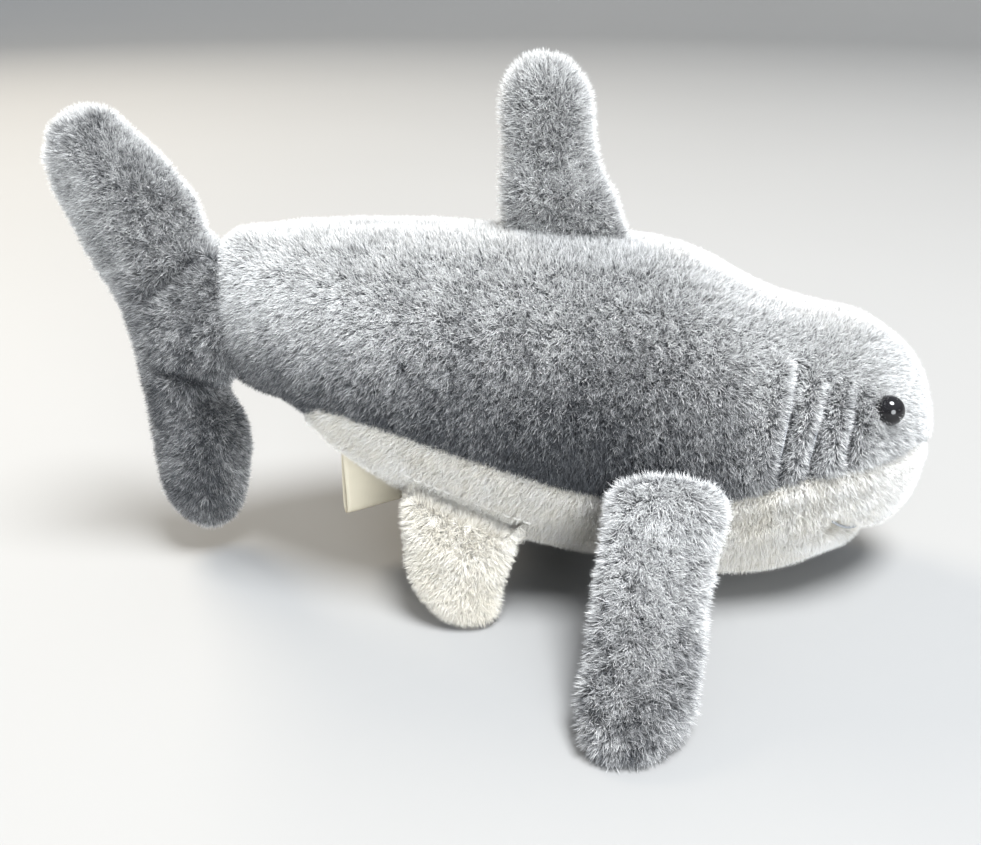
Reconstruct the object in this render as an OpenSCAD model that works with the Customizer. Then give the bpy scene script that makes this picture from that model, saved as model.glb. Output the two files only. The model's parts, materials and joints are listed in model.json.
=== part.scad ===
// A stuffed plush shark lying on its chest: sewn plush panels over fibrefill, with six fins
// that hinge on their stitched roots. Millimetres. +X nose, +Y the shark's left, +Z up.

/* [Body] */
// Length of the body from the tail seam to the nose
body_len = 248; // [200:1:320]
// Height of the back above the table
body_h = 126; // [100:1:160]
// Width of the body at the pectoral fins
body_w = 98; // [78:1:125]
// Thickness of the plush, from its backing to the tips of its pile
plush_t = 4; // [2:0.5:6]

/* [Dorsal fin] */
// Distance from the tail seam to the rear edge of the dorsal fin
dorsal_x = 94; // [70:1:120]
// Length of the dorsal fin's root
dorsal_root = 44; // [30:1:56]
// Width of the dorsal fin near its tip
dorsal_tip = 31; // [20:1:40]
// Height of the dorsal fin above the back
dorsal_h = 53; // [35:1:75]
// Thickness of the dorsal fin
dorsal_t = 19; // [12:1:24]

/* [Pectoral fins] */
// Distance from the tail seam to the middle of a pectoral fin's root
pectoral_x = 150; // [130:1:175]
// Width of a pectoral fin at its root
pectoral_root = 41; // [30:1:50]
// Width of a pectoral fin near its tip
pectoral_tip = 36; // [22:1:42]
// Length of a pectoral fin
pectoral_len = 85; // [70:1:105]
// Thickness of a pectoral fin
pectoral_t = 19; // [12:1:24]
// Angle that a pectoral fin sweeps back
pectoral_sweep = 14; // [0:1:20]

/* [Pelvic fins] */
// Distance from the tail seam to the middle of a pelvic fin's root
pelvic_x = 84; // [70:1:110]
// Width of a pelvic fin at its root
pelvic_root = 40; // [25:1:45]
// Width of a pelvic fin near its tip
pelvic_tip = 33; // [18:1:40]
// Thickness of a pelvic fin
pelvic_t = 21; // [14:1:26]
// Angle that a pelvic fin hangs out from the vertical
pelvic_splay = 17; // [10:1:30]

/* [Tail fin] */
// Height of the upper lobe's tip above the table
tail_top = 164; // [140:1:190]
// Height of the lower lobe's tip above the table
tail_bottom = 6; // [4:1:20]
// Width of the lobes
tail_w = 37; // [28:1:44]
// Thickness of the lobes
tail_t = 28; // [18:1:32]

/* [Face] */
// Diameter of an eye
eye_d = 10; // [6:0.5:14]
// How far an eye stands out of its seat
eye_rise = 4.6; // [3:0.2:6]
// Diameter of the post behind an eye
post_d = 3; // [2:0.5:4]
// Diameter of the washer that locks the post
washer_d = 13; // [9:0.5:16]
// Thickness of that washer
washer_t = 1.5; // [1:0.1:2]
// Distance from the nose back to the eyes
eye_back = 26; // [20:1:34]

/* [Stitching and label] */
// Diameter of the sewing thread
thread_d = 1; // [0.6:0.1:1.4]
// Clearance between a fin and the thread it turns on
root_gap = 0.4; // [0.3:0.1:1]
// Width of the sewn-in label
label_w = 22; // [12:1:30]
// How far the folded label hangs out
label_drop = 19; // [10:1:24]
// Thickness of the label's tape
label_t = 0.5; // [0.3:0.1:1]

/* [Hidden] */

grey = "#8a8f94";
white = "#f2f0ec";
fill = "#e9e6df";
thread_grey = "#55585c";
thread_r = thread_d / 2;

// The body's stations from the tail seam to the nose. Each gives its distance along the body as a
// share of body_len, the heights of the back, the belly and the widest place as shares of body_h,
// the half width as a share of half of body_w, and the height of the side seam.
//   along  back   belly   widest half   seam
stations = [
    [0.000, 0.901, 0.587,  0.738, 0.016, 0.587],
    [0.006, 0.937, 0.556,  0.738, 0.143, 0.556],
    [0.024, 0.968, 0.524,  0.738, 0.296, 0.524],
    [0.055, 0.988, 0.500,  0.730, 0.449, 0.500],
    [0.093, 0.996, 0.480,  0.710, 0.571, 0.480],
    [0.147, 1.000, 0.349,  0.663, 0.694, 0.556],
    [0.226, 1.000, 0.242,  0.603, 0.827, 0.540],
    [0.323, 0.996, 0.147,  0.540, 0.929, 0.488],
    [0.436, 0.992, 0.071,  0.480, 0.990, 0.425],
    [0.541, 0.972, 0.032,  0.444, 1.000, 0.377],
    [0.630, 0.944, 0.004,  0.421, 0.980, 0.353],
    [0.703, 0.870, -0.030, 0.409, 0.959, 0.381],
    [0.772, 0.806, -0.030, 0.401, 0.898, 0.413],
    [0.832, 0.777, 0.020,  0.397, 0.827, 0.420],
    [0.885, 0.752, 0.067,  0.397, 0.704, 0.428],
    [0.933, 0.694, 0.115,  0.393, 0.531, 0.428],
    [0.966, 0.618, 0.163,  0.389, 0.357, 0.430],
    [0.986, 0.540, 0.222,  0.385, 0.214, 0.417],
    [0.998, 0.462, 0.294,  0.381, 0.102, 0.393],
    [1.000, 0.428, 0.349,  0.381, 0.031, 0.381]
];
last = len(stations) - 1;
rings_per_station = 2;
side_columns = 8;
belly_columns = 5;
// The row where the belly panel's pointed rear end lies, and how many rows it takes to widen
belly_start = 4;
belly_widen = 0.9;
belly_point = 0.12;

// The tail fin's stations from the upper tip to the lower tip: the front edge's distance ahead of
// the tail seam and its height, the rear edge's, and the thickness. Distances are shares of
// tail_w, and heights run from 1 at the upper tip through 0 at the seam's middle to -1.
//   front   up      rear    up      thick
tail_stations = [
    [-1.000, 0.993,  -1.110, 0.980,  0.070],
    [-0.757, 0.985,  -1.365, 0.873,  0.640],
    [-0.568, 0.887,  -1.446, 0.746,  0.860],
    [-0.290, 0.730,  -1.405, 0.577,  0.960],
    [-0.080, 0.580,  -1.270, 0.380,  1.000],
    [0.000,  0.420,  -1.108, 0.170,  0.940],
    [0.000,  0.210,  -0.960, 0.000,  0.930],
    [0.000,  0.000,  -0.878, -0.126, 1.000],
    [0.000,  -0.230, -0.851, -0.290, 1.000],
    [0.040,  -0.330, -0.851, -0.400, 0.910],
    [0.170,  -0.437, -0.851, -0.517, 0.960],
    [0.203,  -0.610, -0.838, -0.678, 1.000],
    [0.135,  -0.780, -0.784, -0.816, 0.930],
    [0.000,  -0.908, -0.662, -0.930, 0.640],
    [-0.189, -0.977, -0.459, -0.983, 0.320],
    [-0.284, -0.997, -0.351, -0.997, 0.070]
];
tail_last = len(tail_stations) - 1;
// How sharply the tail's two sides meet at its edges
tail_edge = 1.5;

// The inside of the body shrinks towards a line between these shares of its length
core_rear = 0.14;
core_nose = 0.87;
core_share = 0.35;
// An inner surface goes at most this share of the way to that line
max_inset = 0.6;
// Depth of the seams, and of the fibrefill that they press against
seam_depth = plush_t + thread_r + 0.5;
fill_depth = plush_t + thread_d + 0.9;

// Half thickness of a fin's pinched root, and the distance in which it fills out
root_half = 0.5;
fill_out = 15;
fin_columns = 7;
// Where a fin's sides stand along its length, and how its round tip is divided
fin_steps = [0, 0.12, 0.25, 0.4, 0.6, 0.8];
tip_angles = [0, 22, 42, 60, 74, 85];
// Height of the tip of a pectoral or pelvic fin that rests flat on the table
tip_rest = -1;

// Angles around the body at which the fins' roots and the eyes are set, from its widest place
pectoral_angle = -4;
pelvic_angle = -38;
eye_angle = 30.5;
// Depth of an eye's seat in the pile, and the radius to which the head curves around it
eye_seat = 1.6;
eye_bend = 24;
post_grip = 1.5;
washer_ease = 0.3;

// Distances of the gill tucks' lower ends behind the nose, how far their upper ends lean forward,
// and the angles that they run between
gill_back = [63, 53, 40.5];
gill_lean = [5.5, 5.5, 2.5];
gill_top = [44, 38, 35];
gill_bottom = [5, 6, 10];
// The mouth runs from below the snout to its corners
mouth_back = 40;
mouth_angle = -22;
mouth_middle = 16;

// The label: its distance ahead of the tail seam, half the width of its loop, how deep its ends
// are caught in the belly, and its turn about the vertical
label_x = 37;
label_bow = 2.4;
label_catch = 2;
label_turn = 30;

function unit(v) = v / norm(v);
function between(a, b, s) = a + (b - a) * s;
function clamp(v, low, high) = max(low, min(high, v));

// Column c of a table at row number r, by a cubic through its rows
function slope(t, i, c) = (t[min(i + 1, len(t) - 1)][c] - t[max(i - 1, 0)][c]) / 2;
function cubic(a, b, da, db, s) =
    a * (1 + 2 * s) * (1 - s) * (1 - s) + b * s * s * (3 - 2 * s)
    + da * s * (1 - s) * (1 - s) - db * s * s * (1 - s);
function at(t, r, c) =
    let (i = min(floor(r), len(t) - 2))
    cubic(t[i][c], t[i + 1][c], slope(t, i, c), slope(t, i + 1, c), r - i);

function station_x(r) = body_len * at(stations, r, 0);
function back_z(r) = body_h * at(stations, r, 1);
function belly_z(r) = body_h * at(stations, r, 2);
function widest_z(r) = body_h * at(stations, r, 3);
function half_w(r) = body_w / 2 * at(stations, r, 4);

// The row number of the station at a distance x from the tail seam
function row_at(x, low = 0, high = last, n = 24) =
    n == 0 ? (low + high) / 2
    : station_x((low + high) / 2) < x ? row_at(x, (low + high) / 2, high, n - 1)
    : row_at(x, low, (low + high) / 2, n - 1);

// A point of the body's outside at row r and angle a: -90 is the belly line, 0 the widest place
// and 90 the ridge of the back. side is -1 on the right and 1 on the left. The chest lies flat.
function skin(r, a, side) =
    let (z = widest_z(r) + sin(a) * (a > 0 ? back_z(r) - widest_z(r) : widest_z(r) - belly_z(r)))
    [station_x(r), side * half_w(r) * cos(a), max(z, 0)];

// The surface's normal there, pointing out
function skin_normal(r, a, side) =
    let (
        along = skin(min(r + 0.05, last), a, side) - skin(max(r - 0.05, 0), a, side),
        up = skin(r, a + 1, side) - skin(r, a - 1, side)
    ) unit(cross(up, along)) * side;

// A point at a depth t under point p of the outside, towards the line in the body's middle
function under(p, r, t) =
    let (
        x = clamp(p.x, core_rear * body_len, core_nose * body_len),
        low = between(widest_z(r), belly_z(r), core_share),
        high = between(widest_z(r), back_z(r), core_share),
        way = [x, 0, clamp(p.z, low, high)] - p
    ) p + way * min(t / norm(way), max_inset);
function inside(r, a, side, t) = under(skin(r, a, side), r, t);

// The angle of the side seam at row r. Behind the belly panel the side panels meet underneath.
function seam_angle(r) =
    r <= belly_start ? -90
    : let (
        rise = body_h * at(stations, r, 5) - widest_z(r),
        room = rise > 0 ? back_z(r) - widest_z(r) : widest_z(r) - belly_z(r),
        s = min(1, (r - belly_start) / belly_widen)
    ) between(-90, asin(clamp(rise / room, -1, 1)), s * (2 - s));

body_rows = [for (k = [0:last * rings_per_station])
    each k == belly_start * rings_per_station ? [belly_start, belly_start + belly_point]
    : [k / rings_per_station]];
belly_rows = [for (r = body_rows) if (r > belly_start) r];

// The tail fin's edges, and a point of its outside at row r and angle a: 0 is the front edge,
// 90 the middle of the left side and 180 the rear edge
hinge_x = -thread_r;
hinge_z = widest_z(0);
function tail_height(h) = hinge_z + h * (h > 0 ? tail_top - hinge_z : hinge_z - tail_bottom);
function tail_edge_point(r, c) =
    [hinge_x - thread_r - root_gap + tail_w * at(tail_stations, r, c), 0,
        tail_height(at(tail_stations, r, c + 1))];
function tail_skin(r, a) =
    let (
        front = tail_edge_point(r, 0),
        rear = tail_edge_point(r, 2),
        y = tail_t / 2 * at(tail_stations, r, 4) * pow(abs(sin(a)), tail_edge) * sign(sin(a))
    ) between(front, rear, (1 - cos(a)) / 2) + [0, y, 0];
function tail_under(p, r, t) =
    let (
        m = clamp(r, 2, tail_last - 2.5),
        front = tail_edge_point(m, 0),
        rear = tail_edge_point(m, 2),
        s = (p - front) * (rear - front) / pow(norm(rear - front), 2),
        way = between(front, rear, clamp(s, 0.38, 0.62)) - p
    ) p + way * min(t / norm(way), max_inset);

// Everything is shifted along X so that the origin is under the middle of the shark
tail_rear = min([for (k = [0:tail_last * 4]) tail_edge_point(k / 4, 2).x]);
shift_x = -(body_len + tail_rear) / 2;
module placed() translate([shift_x, 0, 0]) children();

// A closed solid between two grids of points: outer[i][j] outside and inner[i][j] inside
module shell(outer, inner) {
    rows = len(outer);
    columns = len(outer[0]);
    function o(i, j) = i * columns + j;
    function n(i, j) = (rows + i) * columns + j;
    function quad(a, b, c, d) = [[a, b, c], [a, c, d]];
    polyhedron([for (row = concat(outer, inner)) each row], concat(
        [for (i = [0:rows - 2], j = [0:columns - 2])
            each concat(
                quad(o(i, j), o(i, j + 1), o(i + 1, j + 1), o(i + 1, j)),
                quad(n(i, j), n(i + 1, j), n(i + 1, j + 1), n(i, j + 1)))],
        [for (i = [0:rows - 2])
            each concat(
                quad(o(i, 0), o(i + 1, 0), n(i + 1, 0), n(i, 0)),
                quad(o(i, columns - 1), n(i, columns - 1), n(i + 1, columns - 1), o(i + 1, columns - 1)))],
        [for (j = [0:columns - 2])
            each concat(
                quad(o(0, j), n(0, j), n(0, j + 1), o(0, j + 1)),
                quad(o(rows - 1, j), o(rows - 1, j + 1), n(rows - 1, j + 1), n(rows - 1, j)))]
    ));
}

// A closed solid through rings of points, with a flat cap at each end
module loft(rings) {
    sides = len(rings[0]);
    polyhedron([for (ring = rings) each ring], concat(
        [for (i = [0:len(rings) - 2], j = [0:sides - 1])
            let (a = i * sides + j, b = i * sides + (j + 1) % sides)
            each [[a, b, b + sides], [a, b + sides, a + sides]]],
        [[for (j = [sides - 1:-1:0]) j]],
        [[for (j = [0:sides - 1]) (len(rings) - 1) * sides + j]]
    ));
}

// A round thread through the given points, which run well away from the way of guide
module thread(points, guide = [0, 0, 1]) {
    sides = 6;
    end = len(points) - 1;
    loft([for (i = [0:end])
        let (
            way = unit(points[min(i + 1, end)] - points[max(i - 1, 0)]),
            u = unit(cross(guide, way)),
            v = cross(u, way)
        ) [for (k = [0:sides - 1])
            points[i] + thread_r * (u * cos(360 / sides * k) + v * sin(360 / sides * k))]]);
}

// Turns children that stand on the XY plane so that they stand along way at point p
module stand(p, way) {
    translate(p) rotate([0, acos(way.z), atan2(way.y, way.x)]) children();
}

// Body
function side_grid(side, t) = [for (r = body_rows)
    [for (j = [0:side_columns])
        let (s = (side < 0 ? j : side_columns - j) / side_columns, a = between(seam_angle(r), 90, s))
        t > 0 ? inside(r, a, side, t) : skin(r, a, side)]];

function belly_grid(t) = [for (r = belly_rows)
    [for (j = [belly_columns:-1:-belly_columns])
        let (a = between(-90, seam_angle(r), abs(j) / belly_columns), side = j < 0 ? -1 : 1)
        t > 0 ? inside(r, a, side, t) : skin(r, a, side)]];

eye_row = row_at(body_len - eye_back);
function eye_place(side) = skin(eye_row, eye_angle, side);
function eye_way(side) = skin_normal(eye_row, eye_angle, side);
washer_depth = plush_t + pow(washer_d / 2, 2) / (2 * eye_bend) + 0.1;
post_len = washer_depth + washer_t + post_grip;

// The hole that an eye's seat and post make in the plush
module eye_hole(side) {
    stand(eye_place(side), eye_way(side)) {
        translate([0, 0, -eye_seat]) cylinder(h = eye_seat + eye_rise, d = eye_d + 0.2, $fn = 32);
        translate([0, 0, -post_len]) cylinder(h = post_len, d = post_d + 0.1, $fn = 32);
    }
}

module side_panel(side) {
    color(grey) placed() difference() {
        shell(side_grid(side, 0), side_grid(side, plush_t));
        eye_hole(side);
    }
}

module side_panel_right() side_panel(-1);
module side_panel_left() side_panel(1);

module belly_panel() {
    color(white) placed() shell(belly_grid(0), belly_grid(plush_t));
}

module body_stuffing() {
    steps = 10;
    color(fill) placed() difference() {
        loft([for (r = [0:last])
            [for (j = [0:2 * steps - 1])
                let (a = j < steps ? between(-90, 90, j / steps) : between(90, -90, j / steps - 1))
                inside(r, a, j < steps ? -1 : 1, fill_depth)]]);
        for (side = [-1, 1]) stand(eye_place(side), eye_way(side))
            translate([0, 0, -post_len - washer_ease])
                cylinder(h = post_len, d = washer_d + 2 * washer_ease, $fn = 32);
    }
}

module back_seam_thread() {
    color(thread_grey) placed() thread([for (r = [1:last - 3]) inside(r, 90, 1, seam_depth)]);
}

module rear_seam_thread() {
    color(thread_grey) placed() thread([for (r = [2:belly_start]) inside(r, -90, 1, seam_depth)]);
}

module belly_seam_thread(side) {
    color(white) placed() thread([for (r = [belly_start + 1:last - 3])
        inside(r, seam_angle(r), side, seam_depth)]);
}

module belly_seam_thread_right() belly_seam_thread(-1);
module belly_seam_thread_left() belly_seam_thread(1);

module gill_tuck_threads(side) {
    steps = 5;
    color(thread_grey) placed() for (i = [0:len(gill_back) - 1])
        thread([for (k = [0:steps])
            let (r = row_at(body_len - gill_back[i] + gill_lean[i] * (1 - k / steps)))
            inside(r, between(gill_top[i], gill_bottom[i], k / steps), side, seam_depth)],
            guide = [1, 0, 0]);
}

module gill_tuck_threads_right() gill_tuck_threads(-1);
module gill_tuck_threads_left() gill_tuck_threads(1);

module mouth_thread() {
    steps = 12;
    corner = row_at(body_len - mouth_back);
    color(thread_grey) placed() thread([for (k = [-steps:steps])
        let (s = abs(k) / steps)
        inside(between(mouth_middle, corner, s), between(-90, mouth_angle, s), k < 0 ? -1 : 1,
            seam_depth)]);
}

module eye(side) {
    high = eye_rise + eye_seat;
    ball = (pow(eye_d / 2, 2) + high * high) / (2 * high);
    color("black") placed() stand(eye_place(side), eye_way(side)) {
        intersection() {
            translate([0, 0, eye_rise - ball]) sphere(ball, $fn = 48);
            translate([0, 0, -eye_seat]) cylinder(h = high, d = eye_d, $fn = 48);
        }
        translate([0, 0, -post_len]) cylinder(h = post_len - eye_seat + 0.5, d = post_d, $fn = 32);
    }
}

module eye_right() eye(-1);
module eye_left() eye(1);

module eye_washer(side) {
    color("white") placed() stand(eye_place(side), eye_way(side))
        translate([0, 0, -washer_depth - washer_t]) difference() {
            cylinder(h = washer_t, d = washer_d, $fn = 48);
            translate([0, 0, -1]) cylinder(h = washer_t + 2, d = post_d, $fn = 32);
        }
}

module eye_washer_right() eye_washer(-1);
module eye_washer_left() eye_washer(1);

// A tape folded into a loop, with both its ends caught in the belly along the belly's own slope
module sewn_in_label() {
    rear_z = belly_z(row_at(label_x));
    front_z = belly_z(row_at(label_x + label_w));
    top = max(rear_z, front_z) + label_catch;
    low = (rear_z + front_z) / 2 - label_drop;
    outer = label_bow + label_t;
    color("ivory") placed() difference() {
        translate([label_x + label_w / 2, 0, low + outer]) rotate([90, 0, 90 + label_turn])
            linear_extrude(label_w, center = true) difference() {
                union() {
                    circle(outer, $fn = 32);
                    translate([-outer, 0]) square([2 * outer, top - low]);
                }
                circle(label_bow, $fn = 32);
                translate([-label_bow, 0]) square([2 * label_bow, 2 * (top - low)]);
            }
        translate([label_x, 0, rear_z + label_catch]) rotate([0, atan2(rear_z - front_z, label_w), 0])
            translate([-label_w, -label_w, 0]) cube([3 * label_w, 2 * label_w, top]);
    }
}

// Fins on the body. Each is a list: the root's two ends, the way out, the length, the half widths
// at the root and near the tip, the half thickness, and how far the tip's middle moves along.
// The root lies on its thread, and the thread on the highest place of the body under it.
function root_end(x, a, side) = skin(row_at(x), a, side);
function root_way(x, a, side) = skin_normal(row_at(x), a, side);
function root_lift(x, half, a, side) =
    let (
        first = root_end(x - half, a, side),
        chord = root_end(x + half, a, side) - first,
        way = root_way(x, a, side)
    ) thread_r + max([for (k = [0:10])
        (root_end(x - half + half * k / 5, a, side) - first - chord * k / 10) * way]);
function root(x, half, a, side) =
    let (lift = root_way(x, a, side) * root_lift(x, half, a, side))
    [root_end(x - half, a, side) + lift, root_end(x + half, a, side) + lift];
function middle(ends) = (ends[0] + ends[1]) / 2;

dorsal_ends = root(dorsal_x + dorsal_root / 2, dorsal_root / 2, 90, 1);
dorsal_fin = [dorsal_ends, [0, 0, 1], dorsal_h, dorsal_root / 2, dorsal_tip / 2, dorsal_t / 2,
    (dorsal_tip - dorsal_root) / 2];

function pectoral_ends(side) = root(pectoral_x, pectoral_root / 2, pectoral_angle, side);
function pectoral_fin(side) =
    let (
        ends = pectoral_ends(side),
        droop = asin((middle(ends).z - tip_rest) / pectoral_len),
        sweep = pectoral_sweep
    ) [ends, [-cos(droop) * sin(sweep), side * cos(droop) * cos(sweep), -sin(droop)], pectoral_len,
        pectoral_root / 2, pectoral_tip / 2, pectoral_t / 2, 0];

function pelvic_ends(side) = root(pelvic_x, pelvic_root / 2, pelvic_angle, side);
function pelvic_fin(side) =
    let (ends = pelvic_ends(side), drop = middle(ends).z - tip_rest)
    [ends, [0, side * sin(pelvic_splay), -cos(pelvic_splay)], drop / cos(pelvic_splay),
        pelvic_root / 2, pelvic_tip / 2, pelvic_t / 2, (pelvic_tip - pelvic_root) / 2];

// The distances out from the root at which a fin's rings stand, and its size at distance d
function tip_len(f) = f[4];
function fin_rings(f) =
    let (straight = f[2] - tip_len(f))
    concat([for (s = fin_steps) s * straight], [for (a = tip_angles) straight + tip_len(f) * sin(a)]);
function roundness(f, d) =
    let (over = (d - f[2] + tip_len(f)) / tip_len(f)) over > 0 ? sqrt(1 - over * over) : 1;
function fin_half(f, d) = between(f[3], f[4], sin(90 * min(1, d / (f[2] - tip_len(f))))) * roundness(f, d);
function fin_thick(f, d) =
    between(root_half, f[5], sin(90 * min(1, d / fill_out))) * roundness(f, d);
function fin_middle(f, d) =
    let (axis = unit(f[0][1] - f[0][0]))
    middle(f[0]) + f[1] * (thread_r + root_gap + d)
        + axis * f[6] * sin(90 * min(1, d / (f[2] - tip_len(f))));
function fin_skin(f, d, a) =
    let (
        axis = unit(f[0][1] - f[0][0]),
        across = unit(cross(axis, f[1])),
        p = fin_middle(f, d) + axis * fin_half(f, d) * cos(a) + across * fin_thick(f, d) * sin(a)
    ) [p.x, p.y, max(p.z, 0)];
function fin_under(f, d, a, t) =
    let (
        p = fin_skin(f, d, a),
        axis = unit(f[0][1] - f[0][0]),
        m = clamp(d, fill_out * 0.8, f[2] - tip_len(f) * 0.8),
        room = max(0, fin_half(f, m) - fin_thick(f, m)),
        way = fin_middle(f, m) + axis * clamp(fin_half(f, d) * cos(a), -room, room) - p
    ) p + way * min(t / norm(way), max_inset);

// One face of a fin, side 0 or 1, and what fills it
function fin_grid(f, side, t) = [for (d = fin_rings(f))
    [for (j = [0:fin_columns])
        let (a = 180 * side + 180 * j / fin_columns)
        t > 0 ? fin_under(f, d, a, t) : fin_skin(f, d, a)]];
module fin_panel(f, side, tint) {
    color(tint) placed() shell(fin_grid(f, side, 0), fin_grid(f, side, plush_t));
}
module fin_stuffing(f) {
    count = 2 * fin_columns;
    color(fill) placed() loft([for (d = fin_rings(f))
        [for (j = [0:count - 1]) fin_under(f, d, 360 * j / count, fill_depth)]]);
}
module root_thread(ends, tint) {
    way = unit(ends[1] - ends[0]);
    color(tint) placed() stand(ends[0], way)
        cylinder(h = norm(ends[1] - ends[0]), r = thread_r, $fn = 16);
}

module dorsal_root_thread() root_thread(dorsal_ends, thread_grey);
module dorsal_panel_right() fin_panel(dorsal_fin, 0, grey);
module dorsal_panel_left() fin_panel(dorsal_fin, 1, grey);
module dorsal_stuffing() fin_stuffing(dorsal_fin);

module pectoral_root_thread_right() root_thread(pectoral_ends(-1), thread_grey);
module pectoral_root_thread_left() root_thread(pectoral_ends(1), thread_grey);
module pectoral_upper_panel_right() fin_panel(pectoral_fin(-1), 1, grey);
module pectoral_under_panel_right() fin_panel(pectoral_fin(-1), 0, grey);
module pectoral_stuffing_right() fin_stuffing(pectoral_fin(-1));
module pectoral_upper_panel_left() fin_panel(pectoral_fin(1), 0, grey);
module pectoral_under_panel_left() fin_panel(pectoral_fin(1), 1, grey);
module pectoral_stuffing_left() fin_stuffing(pectoral_fin(1));

module pelvic_root_thread_right() root_thread(pelvic_ends(-1), white);
module pelvic_root_thread_left() root_thread(pelvic_ends(1), white);
module pelvic_outer_panel_right() fin_panel(pelvic_fin(-1), 1, white);
module pelvic_inner_panel_right() fin_panel(pelvic_fin(-1), 0, white);
module pelvic_stuffing_right() fin_stuffing(pelvic_fin(-1));
module pelvic_outer_panel_left() fin_panel(pelvic_fin(1), 0, white);
module pelvic_inner_panel_left() fin_panel(pelvic_fin(1), 1, white);
module pelvic_stuffing_left() fin_stuffing(pelvic_fin(1));

// Tail fin
tail_columns = 7;
function tail_grid(side, t) = [for (r = [0:tail_last])
    [for (j = [0:tail_columns])
        let (a = 180 * side + 180 * j / tail_columns, p = tail_skin(r, a))
        t > 0 ? tail_under(p, r, t) : p]];
module tail_panel(side) {
    color(grey) placed() shell(tail_grid(side, 0), tail_grid(side, plush_t));
}
module tail_panel_left() tail_panel(0);
module tail_panel_right() tail_panel(1);
module tail_stuffing() {
    count = 2 * tail_columns;
    color(fill) placed() loft([for (r = [0:tail_last])
        [for (j = [0:count - 1]) tail_under(tail_skin(r, 360 * j / count), r, fill_depth)]]);
}
module tail_root_thread() {
    root_thread([[hinge_x, 0, belly_z(0)], [hinge_x, 0, back_z(0)]], thread_grey);
}

side_panel_right();
side_panel_left();
belly_panel();
body_stuffing();
back_seam_thread();
rear_seam_thread();
belly_seam_thread_right();
belly_seam_thread_left();
gill_tuck_threads_right();
gill_tuck_threads_left();
mouth_thread();
eye_right();
eye_left();
eye_washer_right();
eye_washer_left();
sewn_in_label();
dorsal_root_thread();
tail_root_thread();
pectoral_root_thread_right();
pectoral_root_thread_left();
pelvic_root_thread_right();
pelvic_root_thread_left();
dorsal_panel_right();
dorsal_panel_left();
dorsal_stuffing();
tail_panel_right();
tail_panel_left();
tail_stuffing();
pectoral_upper_panel_right();
pectoral_under_panel_right();
pectoral_stuffing_right();
pectoral_upper_panel_left();
pectoral_under_panel_left();
pectoral_stuffing_left();
pelvic_outer_panel_right();
pelvic_inner_panel_right();
pelvic_stuffing_right();
pelvic_outer_panel_left();
pelvic_inner_panel_left();
pelvic_stuffing_left();
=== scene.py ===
"""A sewn plush shark: tufted pile on a backing, fins sewn on at their roots, and safety eyes."""

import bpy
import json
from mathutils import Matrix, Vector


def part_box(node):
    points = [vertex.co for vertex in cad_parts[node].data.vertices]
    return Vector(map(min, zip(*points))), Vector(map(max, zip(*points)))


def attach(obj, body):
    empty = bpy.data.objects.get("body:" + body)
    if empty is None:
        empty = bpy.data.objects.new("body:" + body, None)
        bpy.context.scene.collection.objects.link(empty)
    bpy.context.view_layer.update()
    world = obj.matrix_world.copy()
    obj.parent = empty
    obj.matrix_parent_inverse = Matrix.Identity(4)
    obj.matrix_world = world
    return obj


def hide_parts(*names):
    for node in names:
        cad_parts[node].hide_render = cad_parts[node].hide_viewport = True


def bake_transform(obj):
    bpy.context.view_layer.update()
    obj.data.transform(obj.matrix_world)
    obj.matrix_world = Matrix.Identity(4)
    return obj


bl_info = {
    "name": "Plush Shark",
    "version": (1, 0, 0),
    "blender": (4, 5, 0),
    "location": "3D Viewport > Sidebar > Plush Shark",
    "description": "Sewn plush shark with tufted pile, flexing fins and safety eyes",
    "category": "Object",
}

import json
import math

import bmesh
import bpy
import numpy as np
from bpy.props import FloatProperty, FloatVectorProperty, IntProperty, PointerProperty
from mathutils import Vector
from mathutils.bvhtree import BVHTree

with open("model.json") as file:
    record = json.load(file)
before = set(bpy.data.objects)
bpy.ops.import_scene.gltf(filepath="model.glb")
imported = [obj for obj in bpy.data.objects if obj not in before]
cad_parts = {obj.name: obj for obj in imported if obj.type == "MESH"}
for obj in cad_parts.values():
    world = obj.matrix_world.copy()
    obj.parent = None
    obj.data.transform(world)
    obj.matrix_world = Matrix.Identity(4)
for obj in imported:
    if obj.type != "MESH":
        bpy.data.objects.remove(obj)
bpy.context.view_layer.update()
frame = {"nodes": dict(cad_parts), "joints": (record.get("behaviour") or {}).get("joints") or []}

NODES = frame["nodes"]
JOINTS = {joint["name"]: joint for joint in frame["joints"]}
MM = 0.001
SIDES = ("right", "left")


# Sizes and colours


class PlushSizes(bpy.types.PropertyGroup):
    """Sizes of the pile and the backing"""

    pile_length: FloatProperty(
        name="Pile length",
        description="Length of the tufts on the body",
        default=4.0 * MM,
        subtype="DISTANCE",
        unit="LENGTH",
    )
    tuft_width: FloatProperty(
        name="Tuft width",
        description="Width of one tuft of fibre at its root",
        default=0.36 * MM,
        subtype="DISTANCE",
        unit="LENGTH",
    )
    tufts_per_mm2: FloatProperty(
        name="Tufts per square mm",
        description="How many tufts stand on a square millimetre of backing",
        default=11.5,
        min=0.5,
    )
    backing_depth: FloatProperty(
        name="Backing depth",
        description="How far the knitted backing lies under the tips of the pile",
        default=3.4 * MM,
        subtype="DISTANCE",
        unit="LENGTH",
    )
    seed: IntProperty(
        name="Seed", description="Seed of the pile's scatter", default=7
    )


def colour_property(name, description, default):
    return FloatVectorProperty(
        name=name, description=description, subtype="COLOR", size=3, min=0, max=1, default=default
    )


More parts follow.
